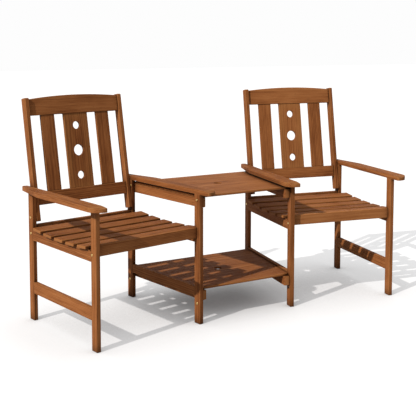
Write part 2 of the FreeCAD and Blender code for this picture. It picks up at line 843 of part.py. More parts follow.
def check_and_write():
    """Stop on any failed object, then write one file for each piece."""
    doc.recompute()
    for item in doc.Objects:
        if "Invalid" in item.State or "Error" in item.State:
            raise RuntimeError(f"{item.Label}: {item.State}")
    for piece in parts:
        shape = piece.Shape
        if shape.isNull() or not shape.isValid() or not shape.Solids:
            raise RuntimeError(f"{piece.Label}: bad shape")
    os.makedirs("parts", exist_ok=True)
    for piece in parts:
        piece.Shape.exportStep(os.path.join("parts", f"{piece.Label}.step"))
    print(f"{len(parts)} pieces written")


for chair_side in (LEFT, RIGHT):
    build_chair(chair_side)
build_table()
build_fasteners()
check_and_write()
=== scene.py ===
"""Looks of the companion seat bench: oiled hardwood boards and yellow-plated bolts.

Every board is modelled in the frame of the sub-assembly that it belongs to, where it
lies square, and is then turned into place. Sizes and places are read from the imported
model, so a board fits what it replaces. Units are metres unless a name says otherwise.
"""

import json
import logging
import math
from collections.abc import Callable
from dataclasses import dataclass, field
from enum import Enum

import bmesh
import bpy
from mathutils import Matrix, Vector


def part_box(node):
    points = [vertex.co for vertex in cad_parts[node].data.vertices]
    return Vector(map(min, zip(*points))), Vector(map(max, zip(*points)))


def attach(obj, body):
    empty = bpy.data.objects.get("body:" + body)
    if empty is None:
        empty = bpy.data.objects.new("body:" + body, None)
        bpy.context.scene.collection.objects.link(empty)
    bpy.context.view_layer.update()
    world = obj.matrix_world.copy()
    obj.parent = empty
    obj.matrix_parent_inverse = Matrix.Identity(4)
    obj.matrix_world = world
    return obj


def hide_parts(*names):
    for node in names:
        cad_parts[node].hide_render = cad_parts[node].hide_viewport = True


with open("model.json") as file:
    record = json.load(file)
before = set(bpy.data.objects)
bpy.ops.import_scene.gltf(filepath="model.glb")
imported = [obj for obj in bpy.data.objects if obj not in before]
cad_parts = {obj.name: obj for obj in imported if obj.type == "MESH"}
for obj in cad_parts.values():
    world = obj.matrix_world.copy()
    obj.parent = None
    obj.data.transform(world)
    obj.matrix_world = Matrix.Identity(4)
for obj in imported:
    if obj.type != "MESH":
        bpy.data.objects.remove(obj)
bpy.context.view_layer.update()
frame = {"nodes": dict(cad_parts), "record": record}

logging.basicConfig(level=logging.INFO, format="%(levelname)s %(message)s")
log = logging.getLogger("bench")

# A test that takes a vertex, an edge or a face of a mesh that is being edited.
Test = Callable[[bmesh.types.BMVert | bmesh.types.BMEdge | bmesh.types.BMFace], bool]

MM = 0.001
ROOT_BODY = "root"

# How far apart two vertices may lie and still count as one place or one level.
NEAR = 1e-4
SAME = 1e-5
UPRIGHT = 1e-6

RECLINE_DEG = 9.9
SEAT_DIP_RADIUS = 2050 * MM
SEAT_DIP_BACK = 244 * MM

# Boards plainly lighter or darker than their neighbours as seen: partly the wood's own tone,
# partly painted light on the right chair's apron and top back rail, whose fronts face the light.
BOARD_TONES_AND_LIGHT = {"right_front_apron": 0.12, "left_front_apron": 0.05, "right_top_back_rail": 0.06,
               "left_top_back_rail": 0.03, "left_outer_arm": -0.03}


class Axis(Enum):
    """An axis of the frame in which a piece is modelled."""

    ACROSS = 0
    BACK = 1
    UP = 2


class Side(Enum):
    """Which chair of the two: the value is the sign of its x."""

    LEFT = -1
    RIGHT = 1

    @property
    def prefix(self) -> str:
        """The start of its nodes' names."""
        return self.name.lower()


class Slot(Enum):
    """Material slots of the record."""

    WOOD = "oiled_hardwood"
    BOLT = "brassed_bolt"
    NUT = "zinc_nut"


# Colour and node helpers

def linear(hex_colour: str) -> tuple[float, float, float, float]:
    """Turn an sRGB hex colour into linear RGBA.

    Args:
        hex_colour: Six hex digits after a hash sign.

    Returns:
        Linear red, green, blue and an alpha of 1.
    """
    values = [int(hex_colour[i:i + 2], 16) / 255 for i in (1, 3, 5)]
    return (*[v / 12.92 if v <= 0.04045 else ((v + 0.055) / 1.055) ** 2.4 for v in values], 1.0)


def add_node(tree: bpy.types.NodeTree, kind: str, links: dict | None = None,
             inputs: dict | None = None, **settings) -> bpy.types.Node:
    """Add a node with its settings, values and incoming links.

    Args:
        tree: The node tree that gets the node.
        kind: The node's type name.
        links: Input name or number to the output socket that feeds it.
        inputs: Input name or number to a fixed value.
        settings: Attributes set on the node itself.

    Returns:
        The new node.
    """
    node = tree.nodes.new(kind)
    for name, value in settings.items():
        setattr(node, name, value)
    for name, value in (inputs or {}).items():
        node.inputs[name].default_value = value
    for name, socket in (links or {}).items():
        tree.links.new(socket, node.inputs[name])
    return node


def new_material(name: str) -> tuple[bpy.types.Material, bpy.types.Node]:
    """Make an empty material with a Principled shader.

    Args:
        name: The material's name.

    Returns:
        The material and its shader node.
    """
    material = bpy.data.materials.new(name)
    material.use_nodes = True
    return material, material.node_tree.nodes["Principled BSDF"]


def ramp(tree: bpy.types.NodeTree, fac: bpy.types.NodeSocket,
         stops: list[tuple[float, str]]) -> bpy.types.NodeSocket:
    """Colour a value through a ramp.

    Args:
        tree: The node tree.
        fac: The value that is coloured.
        stops: Positions with their hex colours.

    Returns:
        The colour output.
    """
    node = add_node(tree, "ShaderNodeValToRGB", {"Fac": fac})
    elements = node.color_ramp.elements
    while len(elements) < len(stops):
        elements.new(0.5)
    for element, (position, colour) in zip(elements, stops):
        element.position = position
        element.color = linear(colour)
    return node.outputs["Color"]


# Finishes

@dataclass(frozen=True)
class OiledHardwood:
    """Acacia planed smooth and oiled: satin, red-brown, streaks along the board.

    The pattern is solid: it reads the board's own coordinates, which run along the
    grain, so side grain and end grain meet at every edge.
    """

    name: str = "oiled_acacia"
    dark: str = "#4E2B14"
    deep: str = "#7A4725"
    middle: str = "#9C6136"
    light: str = "#B17546"
    # End faces: partly the wood's end grain, partly painted light, set lighter than the side grain
    # to stand in for sun on the ends.
    end_grain: str = "#A56D40"
    worn_edge: str = "#B47F4A"
    streak_wide_mm: float = 8.0
    streak_long_mm: float = 650.0
    fibre_wide_mm: float = 1.6
    fibre_long_mm: float = 90.0
    ring_mm: float = 9.0
    ring_long_mm: float = 900.0
    blotch_long_mm: float = 150.0
    blotch_wide_mm: float = 60.0
    pore_long_mm: float = 26.0
    pore_wide_mm: float = 0.9
    wander_long_mm: float = 260.0
    wander_wide_mm: float = 120.0
    wander_mm: float = 10.0
    bump_mm: float = 0.35
    # Reach of the painted shade in gaps and corners, and the share of colour left where it is
    # deepest.
    crack_mm: float = 60.0
    crack_share: float = 0.08
    refraction: float = 1.47
    gloss_level: float = 0.08

    def _stretched(self, tree: bpy.types.NodeTree, vector: bpy.types.NodeSocket,
                   long_mm: float, wide_mm: float) -> bpy.types.NodeSocket:
        """Scale the board's coordinates so that 1 is one streak long or wide."""
        scale = (1 / (long_mm * MM), 1 / (wide_mm * MM), 1 / (wide_mm * MM))
        node = add_node(tree, "ShaderNodeMapping", {"Vector": vector}, {"Scale": scale})
        return node.outputs["Vector"]

    def _noise(self, tree: bpy.types.NodeTree, vector: bpy.types.NodeSocket,
               detail: float, roughness: float = 0.55) -> bpy.types.NodeSocket:
        """A noise of unit scale on a vector."""
        inputs = {"Scale": 1.0, "Detail": detail, "Roughness": roughness}
        node = add_node(tree, "ShaderNodeTexNoise", {"Vector": vector}, inputs)
        return node.outputs["Fac"]

    def _weigh(self, tree: bpy.types.NodeTree, value: bpy.types.NodeSocket, weight: float,
               onto: bpy.types.NodeSocket | None = None) -> bpy.types.NodeSocket:
        """Multiply a value by a weight and add it to what is there."""
        node = add_node(tree, "ShaderNodeMath", {0: value}, {1: weight, 2: 0.0},
                        operation="MULTIPLY_ADD")
        if onto is not None:
            tree.links.new(onto, node.inputs[2])
        return node.outputs[0]

    def material(self) -> bpy.types.Material:
        """Build the wood."""
        material, shader = new_material(self.name)
        tree = material.node_tree
        board = add_node(tree, "ShaderNodeAttribute", attribute_name="board").outputs["Vector"]
        tone = add_node(tree, "ShaderNodeAttribute", attribute_name="tone").outputs["Fac"]
        ends = add_node(tree, "ShaderNodeAttribute", attribute_name="end_grain").outputs["Fac"]
        edge = add_node(tree, "ShaderNodeAttribute", attribute_name="arris").outputs["Fac"]

        # The grain wanders a few millimetres over the length of a board.
        wander = add_node(tree, "ShaderNodeTexNoise",
                          {"Vector": self._stretched(tree, board, self.wander_long_mm,
                                                     self.wander_wide_mm)},
                          {"Scale": 1.0, "Detail": 2.0})
        centred = add_node(tree, "ShaderNodeVectorMath", {0: wander.outputs["Color"]},
                           {1: (0.5, 0.5, 0.5)}, operation="SUBTRACT")
        reach = self.wander_mm * MM
        small = add_node(tree, "ShaderNodeVectorMath", {0: centred.outputs[0]},
                         {1: (0.0, reach, reach)}, operation="MULTIPLY")
        warped = add_node(tree, "ShaderNodeVectorMath", {0: board, 1: small.outputs[0]},
                          operation="ADD").outputs[0]

        streaks = self._noise(tree, self._stretched(
            tree, warped, self.streak_long_mm, self.streak_wide_mm), 5.0)
        fibres = self._noise(tree, self._stretched(
            tree, warped, self.fibre_long_mm, self.fibre_wide_mm), 3.0, 0.65)
        rings = add_node(tree, "ShaderNodeTexWave",
                         {"Vector": self._stretched(tree, warped, self.ring_long_mm,
                                                    self.ring_mm * 2)},
                         {"Scale": 1.0, "Distortion": 2.2, "Detail": 3.0, "Detail Scale": 1.4},
                         wave_type="RINGS", rings_direction="X").outputs["Fac"]
        blotches = self._noise(tree, self._stretched(
            tree, board, self.blotch_long_mm, self.blotch_wide_mm), 2.0)

        shade = self._weigh(tree, streaks, 0.34)
        shade = self._weigh(tree, fibres, 0.42, shade)
        shade = self._weigh(tree, rings, 0.10, shade)
        shade = self._weigh(tree, blotches, 0.26, shade)
        shade = self._weigh(tree, tone, 1.0, shade)
        stops = [(0.33, self.dark), (0.47, self.deep), (0.59, self.middle), (0.75, self.light)]
        side_grain = ramp(tree, shade, stops)

        # Pores: short dark dashes along the grain, drawn coarse enough to show.
        pores = self._noise(tree, self._stretched(
            tree, warped, self.pore_long_mm, self.pore_wide_mm), 1.0)
        pits = add_node(tree, "ShaderNodeMapRange", {"Value": pores},
                        {"From Min": 0.66, "From Max": 0.76, "To Min": 0.0, "To Max": 0.55})
        pitted = add_node(tree, "ShaderNodeMix", {0: pits.outputs[0], 6: side_grain},
                          {7: linear(self.dark)}, data_type="RGBA")
        # End faces get a lighter colour: partly the wood's end grain, partly painted light
        # standing in for sun on the ends.
        faded = self._weigh(tree, ends, 0.75)
        ended = add_node(tree, "ShaderNodeMix", {0: faded, 6: pitted.outputs[2]},
                         {7: linear(self.end_grain)}, data_type="RGBA")
        rubbed = self._weigh(tree, edge, 0.30)
        worn = add_node(tree, "ShaderNodeMix", {0: rubbed, 6: ended.outputs[2]},
                        {7: linear(self.worn_edge)}, data_type="RGBA")

        # Painted shade: ambient occlusion darkens the colour in the gaps where boards meet, under
        # the slats and in corners.
        open_side = add_node(tree, "ShaderNodeAmbientOcclusion",
                             inputs={"Distance": self.crack_mm * MM}, samples=6).outputs["AO"]
        painted_shade = add_node(tree, "ShaderNodeMapRange", {"Value": open_side},
                         {"From Min": 0.3, "From Max": 0.9, "To Min": self.crack_share,
                          "To Max": 1.0})
        dimmed = add_node(tree, "ShaderNodeMix", {6: worn.outputs[2], 7: painted_shade.outputs[0]},
                          {0: 1.0}, data_type="RGBA", blend_type="MULTIPLY")
        tree.links.new(dimmed.outputs[2], shader.inputs["Base Color"])

        gloss = add_node(tree, "ShaderNodeMapRange", {"Value": streaks},
                         {"From Min": 0.3, "From Max": 0.7, "To Min": 0.72, "To Max": 0.60})
        tree.links.new(gloss.outputs[0], shader.inputs["Roughness"])
        relief = self._weigh(tree, pits.outputs[0], -1.2, self._weigh(tree, fibres, 0.6))
        bump = add_node(tree, "ShaderNodeBump", {"Height": relief},
                        {"Strength": 0.35, "Distance": self.bump_mm * MM})
        tree.links.new(bump.outputs[0], shader.inputs["Normal"])
        shader.inputs["IOR"].default_value = self.refraction
        shader.inputs["Specular IOR Level"].default_value = self.gloss_level
        return material


@dataclass(frozen=True)
class PlatedSteel:
    """Turned steel with a thin bright plating, a little mottled."""

    name: str
    bright: str
    dull: str
    roughness: float
    mottle_scale: float = 420.0
    rougher: float = 0.12
    smoother: float = 0.06

    def material(self) -> bpy.types.Material:
        """Build the metal."""
        material, shader = new_material(self.name)
        tree = material.node_tree
        place = add_node(tree, "ShaderNodeTexCoord").outputs["Object"]
        mottle = add_node(tree, "ShaderNodeTexNoise", {"Vector": place},
                          {"Scale": self.mottle_scale, "Detail": 3.0}).outputs["Fac"]
        colour = ramp(tree, mottle, [(0.35, self.dull), (0.65, self.bright)])
        tree.links.new(colour, shader.inputs["Base Color"])
        gloss = add_node(tree, "ShaderNodeMapRange", {"Value": mottle},
                         {"To Min": self.roughness + self.rougher,
                          "To Max": self.roughness - self.smoother})
        tree.links.new(gloss.outputs[0], shader.inputs["Roughness"])
        shader.inputs["Metallic"].default_value = 1.0
        return material


# Modelling helpers

def deselect_all() -> None:
    """Leave nothing selected and nothing active."""
    if bpy.context.object and bpy.context.object.mode != "OBJECT":
        bpy.ops.object.mode_set(mode="OBJECT")
    bpy.ops.object.select_all(action="DESELECT")
    bpy.context.view_layer.objects.active = None


def make_active(piece: bpy.types.Object) -> None:
    """Select a piece alone and make it active."""
    deselect_all()
    piece.select_set(True)
    bpy.context.view_layer.objects.active = piece


def leave_edit(piece: bpy.types.Object) -> None:
    """Return a piece to object mode if it is being edited."""
    if piece.mode == "EDIT":
        bpy.ops.object.mode_set(mode="OBJECT")


def edit_select(piece: bpy.types.Object, kind: str, wanted: Test) -> int:
    """Select parts of a piece in edit mode by a test.

    Args:
        piece: The piece, which is left in edit mode.
        kind: VERT, EDGE or FACE.
        wanted: A test that takes the bmesh element.

    Returns:
        How many elements were selected.
    """
    if bpy.context.object is not piece or piece.mode != "EDIT":
        make_active(piece)
        bpy.ops.object.mode_set(mode="EDIT")
    bpy.ops.mesh.select_mode(type=kind)
    bpy.ops.mesh.select_all(action="DESELECT")
    work = bmesh.from_edit_mesh(piece.data)
    lists = {"VERT": work.verts, "EDGE": work.edges, "FACE": work.faces}
    picked = [element for element in lists[kind] if wanted(element)]
    for element in picked:
        element.select = True
    work.select_flush_mode()
    bmesh.update_edit_mesh(piece.data)
    return len(picked)


def apply_modifier(piece: bpy.types.Object, kind: str, **settings) -> None:
    """Add a modifier with its settings and apply it."""
    make_active(piece)
    modifier = piece.modifiers.new(kind.lower(), kind)
    for name, value in settings.items():
        setattr(modifier, name, value)
    bpy.ops.object.modifier_apply(modifier=modifier.name)


def remove_object(piece: bpy.types.Object) -> None:
    """Delete a helper object and its mesh."""
    mesh = piece.data
    bpy.data.objects.remove(piece)
    bpy.data.meshes.remove(mesh)


def local_span(node: str, place: Matrix) -> tuple[Vector, Vector]:
    """Measure a CAD node in a frame.

    Args:
        node: The node's name.
        place: The frame, as a matrix from the frame to the world.

    Returns:
        Its lowest and highest corner in that frame.
    """
    back = place.inverted()
    points = [back @ vertex.co for vertex in frame["nodes"][node].data.vertices]
    low = Vector(min(p[i] for p in points) for i in range(3))
    high = Vector(max(p[i] for p in points) for i in range(3))
    return low, high


def node_centre(node: str) -> Vector:
    """The middle of a node's box."""
    low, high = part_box(node)
    return (Vector(low) + Vector(high)) / 2


@dataclass
class Board:
    """A board that stands for one CAD node, modelled square in its own frame.

    Attributes:
        node: The node that it replaces.
        place: The frame in which it lies square.
        grain: The axis along which its grain runs.
        arris: The radius of its rounded edges.
        span: Its lowest and highest corner, for a piece that stands for no node.
    """

    node: str
    place: Matrix
    grain: Axis
    arris: float = 2.5 * MM
    arris_steps: int = 3
    span: tuple[Vector, Vector] | None = None
    low: Vector = field(init=False)
    high: Vector = field(init=False)
    piece: bpy.types.Object = field(init=False)
    wear: float = field(init=False)

    def __post_init__(self) -> None:
        """Start as a block of the node's own size."""
        self.wear = self.arris
        self.low, self.high = self.span or local_span(self.node, self.place)
        deselect_all()
        bpy.ops.mesh.primitive_cube_add(size=1.0, location=(self.low + self.high) / 2)
        self.piece = bpy.context.object
        self.piece.name = f"{self.node}_board"
        self.piece.scale = self.high - self.low
        bpy.ops.object.transform_apply(location=True, rotation=True, scale=True)

    @property
    def size(self) -> Vector:
        """Its length along each axis."""
        return self.high - self.low

    def split(self, axis: Axis, stations: list[float]) -> None:
        """Bisect the whole board across an axis at each station."""
        normal = Vector((0, 0, 0))
        normal[axis.value] = 1.0
        for station in stations:
            edit_select(self.piece, "VERT", lambda v: True)
            point = Vector((0, 0, 0))
            point[axis.value] = station
            bpy.ops.mesh.bisect(plane_co=point, plane_no=normal)

    def shift(self, wanted: Test, offset: Vector) -> None:
        """Move the vertices that a test picks."""
        if edit_select(self.piece, "VERT", wanted):
            bpy.ops.transform.translate(value=offset)

    def round_corners(self, wanted: Test, radius: float, steps: int = 8) -> None:
        """Round the edges that a test picks, as an outline's corners."""
        edit_select(self.piece, "EDGE", wanted)
        bpy.ops.mesh.bevel(offset=radius, segments=steps, profile=0.5, affect="EDGES",
                           clamp_overlap=True)

    def roll_down(self, start: float, drop: float) -> None:
        """Lower the top towards the front end, in a smooth roll.

        Args:
            start: Where along the board the roll begins.
            drop: How much lower the top is at the very end.
        """
        leave_edit(self.piece)
        for vertex in self.piece.data.vertices:
            share = ease((start - vertex.co.y) / (start - self.low.y))
            height = (vertex.co.z - self.low.z) / self.size.z
            vertex.co.z -= drop * share * height

    def drill(self, centre: Vector, axis: Axis, radius: float, depth: float,
              corners: int = 48) -> None:
        """Cut a round hole, centred at a point, through a depth along an axis."""
        turns = {Axis.ACROSS: (0, math.pi / 2, 0), Axis.BACK: (math.pi / 2, 0, 0),
                 Axis.UP: (0, 0, 0)}
        leave_edit(self.piece)
        deselect_all()
        bpy.ops.mesh.primitive_cylinder_add(vertices=corners, radius=radius, depth=depth,
                                            location=centre, rotation=turns[axis])
        cutter = bpy.context.object
        apply_modifier(self.piece, "BOOLEAN", object=cutter, operation="DIFFERENCE",
                       solver="EXACT")
        remove_object(cutter)

    def finish(self, wood: bpy.types.Material, tone: float) -> bpy.types.Object:
        """Round the arrises, write the grain's coordinates and put the board in place.

        Args:
            wood: The board's material.
            tone: How much lighter or darker than the others this board is.

        Returns:
            The finished piece.
        """
        leave_edit(self.piece)
        make_active(self.piece)
        bpy.ops.object.shade_smooth()
        apply_modifier(self.piece, "BEVEL", width=self.arris, segments=self.arris_steps,
                       limit_method="ANGLE", angle_limit=math.radians(30),
                       harden_normals=True, use_clamp_overlap=True, miter_outer="MITER_ARC")
        self._write_grain(tone)
        self.piece.data.materials.clear()
        self.piece.data.materials.append(wood)
        self.piece.matrix_world = self.place
        make_active(self.piece)
        bpy.ops.object.transform_apply(location=True, rotation=True, scale=True)
        if self.span is None:
            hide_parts(self.node)
        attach(self.piece, ROOT_BODY)
        log.info("%s: %d faces", self.node, len(self.piece.data.polygons))
        return self.piece

    def _write_grain(self, tone: float) -> None:
        """Store where each vertex lies in the board: along the grain, and at its edges."""
        mesh = self.piece.data
        along = self.grain.value
        order = [along, (along + 1) % 3, (along + 2) % 3]
        seed = Vector(piece_seed(self.node, part) for part in range(3))
        middle = (self.low + self.high) / 2
        places, ends, edges, tones = [], [], [], []
        tiny = 0.05 * MM
        for vertex in mesh.vertices:
            local = vertex.co - middle
            places.extend(local[order[i]] + seed[i] * (3.0 if i == 0 else 0.35) for i in range(3))
            reach = [min(vertex.co[i] - self.low[i], self.high[i] - vertex.co[i])
                     for i in range(3)]
            ends.append(1.0 if reach[along] < tiny else 0.0)
            rounded = sum(tiny < r < self.wear - tiny for r in reach)
            edges.append(1.0 if rounded >= 2 else 0.0)
            tones.append(tone)
        for name, kind, values in (("board", "FLOAT_VECTOR", places), ("end_grain", "FLOAT", ends),
                                   ("arris", "FLOAT", edges), ("tone", "FLOAT", tones)):
            layer = mesh.attributes.new(name, kind, "POINT")
            layer.data.foreach_set("vector" if kind == "FLOAT_VECTOR" else "value", values)


def piece_seed(name: str, part: int) -> float:
    """A steady number from 0 to 1 for a piece, the same in every run."""
    total = sum((i + 7 + 5 * part) * ord(letter) for i, letter in enumerate(name))
    return math.fmod(abs(math.sin(total * 12.9898 + part * 78.233)) * 43758.5453, 1.0)


def board_tone(name: str, spread: float = 0.04) -> float:
    """How much a board's colour differs from the middle tone: a steady random spread plus its
    listed tone, part of which is painted light.
    """
    return (piece_seed(name, 4) - 0.5) * 2 * spread + BOARD_TONES_AND_LIGHT.get(name, 0.0)


# Sub-assemblies

@dataclass
class Chair:
    """One chair: side frames, seat, back and arms.

    Attributes:
        side: Left or right.
        wood: The finish of all its boards.
    """

    side: Side
    wood: bpy.types.Material
    edge_radius: float = 2.0 * MM
    leg_edge_radius: float = 1.3 * MM
    slat_edge_radius: float = 3.0 * MM
    arm_rim_radius: float = 8.5 * MM
    arm_outer_corner: float = 50.0 * MM
    arm_inner_corner: float = 12.0 * MM
    arm_rear_corner: float = 9.0 * MM
    nose_long: float = 45.0 * MM
    nose_drop: float = 4.0 * MM
    batten_wide: float = 17.5 * MM
    batten_high: float = 16.0 * MM
    batten_offset: float = 122.0 * MM
    stile_end_radius: float = 4.0 * MM
    thin_edge_radius: float = 1.5 * MM
    rail_stations: int = 16
    place: Matrix = field(init=False)
    back_place: Matrix = field(init=False)

    def __post_init__(self) -> None:
        """Find the chair's own frame from its legs."""
        front = node_centre(self.name("front_inner_leg"))
        outer = node_centre(self.name("front_outer_leg"))
        rear = node_centre(self.name("rear_inner_leg"))
        across = (outer - front).normalized()
        back = (rear - front).normalized()
        right = across * self.side.value
        turn = Matrix((right, back, Vector((0, 0, 1)))).transposed().to_4x4()
        low, high = local_span(self.name("front_inner_leg"), turn)
        inner_face = low.x if self.side is Side.RIGHT else high.x
        self.place = turn @ Matrix.Translation((inner_face, low.y, 0))
        lean = Matrix.Rotation(math.radians(-RECLINE_DEG), 4, "X")
        self.back_place = self.place @ lean

    def name(self, piece: str) -> str:
        """A node's full name."""
        return f"{self.side.prefix}_{piece}"

    def board(self, piece: str, grain: Axis, place: Matrix | None = None,
              arris: float | None = None) -> Board:
        """Start a board of this chair."""
        return Board(self.name(piece), place or self.place, grain, arris or self.edge_radius)

    def close(self, board: Board) -> None:
        """Finish a board of this chair."""
        board.finish(self.wood, board_tone(board.node))

    def build(self) -> None:
        """Make every wooden piece of the chair."""
        self.build_legs()
        self.build_rails()
        self.build_battens()
        self.build_seat()
        self.build_back()
        for arm in ("inner_arm", "outer_arm"):
            self.build_arm(arm)

    def build_legs(self) -> None:
        """Four straight legs; the inner ones have a nut recess on the table side."""
        recess_radius, recess_depth, recess_up = 4.8 * MM, 6.5 * MM, 84.0 * MM
        for end in ("front", "rear"):
            for where in ("inner", "outer"):
                leg = self.board(f"{end}_{where}_leg", Axis.UP, arris=self.leg_edge_radius)
                if where == "inner":
                    face = leg.low.x if self.side is Side.RIGHT else leg.high.x
                    centre = Vector((face, (leg.low.y + leg.high.y) / 2, recess_up))
                    leg.drill(centre, Axis.ACROSS, recess_radius, recess_depth * 2, 32)
                self.close(leg)

    def build_rails(self) -> None:
        """Stretchers, apron, rear seat rail and the two dished side rails."""
        for piece in ("inner_stretcher", "outer_stretcher"):
            self.close(self.board(piece, Axis.BACK))
        for piece in ("front_apron", "rear_seat_rail"):
            self.close(self.board(piece, Axis.ACROSS))
        for piece in ("inner_seat_rail", "outer_seat_rail"):
            self.build_side_rail(piece)

    def build_side_rail(self, piece: str) -> None:
        """A side rail whose top dips in an arc and is eased down at the front leg."""
        relief_long, relief_deep = 20.0 * MM, 8.0 * MM
        rail = self.board(piece, Axis.BACK, arris=self.thin_edge_radius)
        relieved = rail.low.y + relief_long
        length = rail.high.y - relieved
        stations = [relieved + length * i / self.rail_stations for i in range(self.rail_stations)]
        rail.split(Axis.BACK, stations)
        level = rail.high.z
        for station in [rail.low.y, *stations, rail.high.y]:
            height = self.arc_height(max(station, relieved))
            height -= relief_deep if station < relieved else 0.0
            rail.shift(lambda v, y=station: abs(v.co.y - y) < SAME and v.co.z > level - NEAR,
                       Vector((0, 0, height - level)))
        self.close(rail)

    def arc_height(self, back: float) -> float:
        """The height of the seat's arc at a distance back from the chair's front."""
        dip = seat_dip(self)
        reach = back - dip.y
        return dip.z + SEAT_DIP_RADIUS - math.sqrt(SEAT_DIP_RADIUS ** 2 - reach ** 2)

    def build_battens(self) -> None:
        """Two thin battens under the slats, known from the breaks in the sun's stripes."""
        apron_low, apron = local_span(self.name("front_apron"), self.place)
        rear, _ = local_span(self.name("rear_seat_rail"), self.place)
        middle = (apron_low.x + apron.x) / 2
        for where, offset in (("inner", -self.batten_offset), ("outer", self.batten_offset)):
            across = middle + self.side.value * offset
            low = Vector((across - self.batten_wide / 2, apron.y, 0))
            high = Vector((across + self.batten_wide / 2, rear.y, self.batten_high))
            batten = Board(self.name(f"{where}_seat_batten"), self.place, Axis.BACK,
                           self.thin_edge_radius, span=(low, high))
            length = batten.size.y
            stations = [low.y + length * i / self.rail_stations
                        for i in range(self.rail_stations + 1)]
            batten.split(Axis.BACK, stations[1:-1])
            for station in stations:
                rise = self.arc_height(station) - self.batten_high
                batten.shift(lambda v, y=station: abs(v.co.y - y) < SAME, Vector((0, 0, rise)))
            self.close(batten)

    def build_seat(self) -> None:
        """Five slats, each tilted to the arc of the side rails."""
        dip = seat_dip(self)
        for index in range(1, 6):
            piece = f"seat_slat_{index}"
            centre = self.place.inverted() @ node_centre(self.name(piece))
            angle = math.asin((centre.y - dip.y) / SEAT_DIP_RADIUS)
            place = self.place @ Matrix.Translation(centre) @ Matrix.Rotation(angle, 4, "X")
            self.close(self.board(piece, Axis.ACROSS, place, self.slat_edge_radius))

    def build_back(self) -> None:
        """Stiles, two rails and three slats, all in the leaning frame."""
        for piece in ("inner_back_stile", "outer_back_stile"):
            stile = self.board(piece, Axis.UP, self.back_place)
            ends = edge_ends(stile, Axis.UP, Axis.ACROSS)
            stile.round_corners(ends, self.stile_end_radius, 3)
            self.close(stile)
        self.close(self.board("lower_back_rail", Axis.ACROSS, self.back_place))
        self.build_top_rail()
        for piece in ("inner_back_slat", "outer_back_slat"):
            self.close(self.board(piece, Axis.UP, self.back_place, 2.0 * MM))
        self.build_centre_slat()

    def build_top_rail(self) -> None:
        """The top rail, its upper edge a shallow arch."""
        rise = 12.0 * MM
        rail = self.board("top_back_rail", Axis.ACROSS, self.back_place)
        half = rail.size.x / 2
        radius = (half ** 2 + rise ** 2) / (2 * rise)
        middle = (rail.low.x + rail.high.x) / 2
        steps = 24
        stations = [rail.low.x + rail.size.x * i / steps for i in range(steps + 1)]
        rail.split(Axis.ACROSS, stations[1:-1])
        top = rail.high.z
        for station in stations:
            drop = radius - math.sqrt(max(radius ** 2 - (station - middle) ** 2, 0.0))
            rail.shift(lambda v, x=station: abs(v.co.x - x) < SAME and v.co.z > top - NEAR,
                       Vector((0, 0, -drop)))
        self.close(rail)

    def build_centre_slat(self) -> None:
        """The wide slat with a large hole between two smaller ones."""
        hole_pitch, large, small = 108.0 * MM, 24.0 * MM, 17.0 * MM
        slat = self.board("centre_back_slat", Axis.UP, self.back_place, 1.6 * MM)
        middle = (slat.low + slat.high) / 2
        for offset, radius in ((-hole_pitch, small), (0.0, large), (hole_pitch, small)):
            slat.drill(middle + Vector((0, 0, offset)), Axis.BACK, radius, slat.size.y * 3, 64)
        self.close(slat)

    def build_arm(self, piece: str) -> None:
        """An arm: straight seat-side edge, rounded front, outer edge drawn in behind."""
        taper_long, narrowing = 184.0 * MM, 34.0 * MM
        arm = self.board(piece, Axis.BACK, arris=self.thin_edge_radius)
        outward = self.side.value * (1 if piece == "outer_arm" else -1)
        far, near = (arm.high.x, arm.low.x) if outward > 0 else (arm.low.x, arm.high.x)
        rear, front = arm.high.y, arm.low.y
        arm.split(Axis.BACK, [rear - taper_long])
        arm.shift(lambda v: v.co.y > rear - NEAR and abs(v.co.x - far) < NEAR,
                  Vector((-outward * narrowing, 0, 0)))
        arm.round_corners(upright_near(front, far), self.arm_outer_corner, 16)
        arm.round_corners(upright_near(front, near), self.arm_inner_corner, 8)
        for x in (far - outward * narrowing, near):
            arm.round_corners(upright_near(rear, x), self.arm_rear_corner, 6)
        steps = 8
        arm.split(Axis.BACK, [front + self.nose_long * i / steps for i in range(1, steps + 1)])
        arm.round_corners(top_rim(arm), self.arm_rim_radius, 7)
        arm.wear = self.arm_rim_radius
        arm.roll_down(front + self.nose_long, self.nose_drop)
        self.close(arm)


def ease(share: float) -> float:
    """A share, held from 0 to 1, with a soft start and end."""
    share = min(max(share, 0.0), 1.0)
    return share * share * (3 - 2 * share)


def seat_dip(chair: Chair) -> Vector:
    """The lowest point of the seat's arc, in the chair's frame."""
    _, high = local_span(chair.name("outer_seat_rail"), chair.place)
    reach = high.y - SEAT_DIP_BACK
    height = high.z - (SEAT_DIP_RADIUS - math.sqrt(SEAT_DIP_RADIUS ** 2 - reach ** 2))
    return Vector((0, SEAT_DIP_BACK, height))


def upright_near(back: float, across: float) -> Test:
    """A test for the upright edges at a place in a board's plan."""
    def wanted(edge):
        first, second = (vertex.co for vertex in edge.verts)
        upright = (first - second).xy.length < UPRIGHT
        return upright and abs(first.y - back) < NEAR and abs(first.x - across) < NEAR
    return wanted


def top_rim(board: Board) -> Test:
    """A test for the edges between a board's top and its sides."""
    def wanted(edge):
        level = all(abs(vertex.co.z - board.high.z) < SAME for vertex in edge.verts)
        return level and any(abs(face.normal.z) < 0.5 for face in edge.link_faces)
    return wanted


def edge_ends(board: Board, end_axis: Axis, edge_axis: Axis) -> Test:
    """A test for the edges at a board's two ends that run along an axis."""
    def wanted(edge):
        first, second = (vertex.co for vertex in edge.verts)
        step = second - first
        at_low = abs(first[end_axis.value] - board.low[end_axis.value]) < SAME
        at_high = abs(first[end_axis.value] - board.high[end_axis.value]) < SAME
        straight = abs(step[edge_axis.value]) > step.length * 0.999
        return straight and (at_low or at_high)
    return wanted


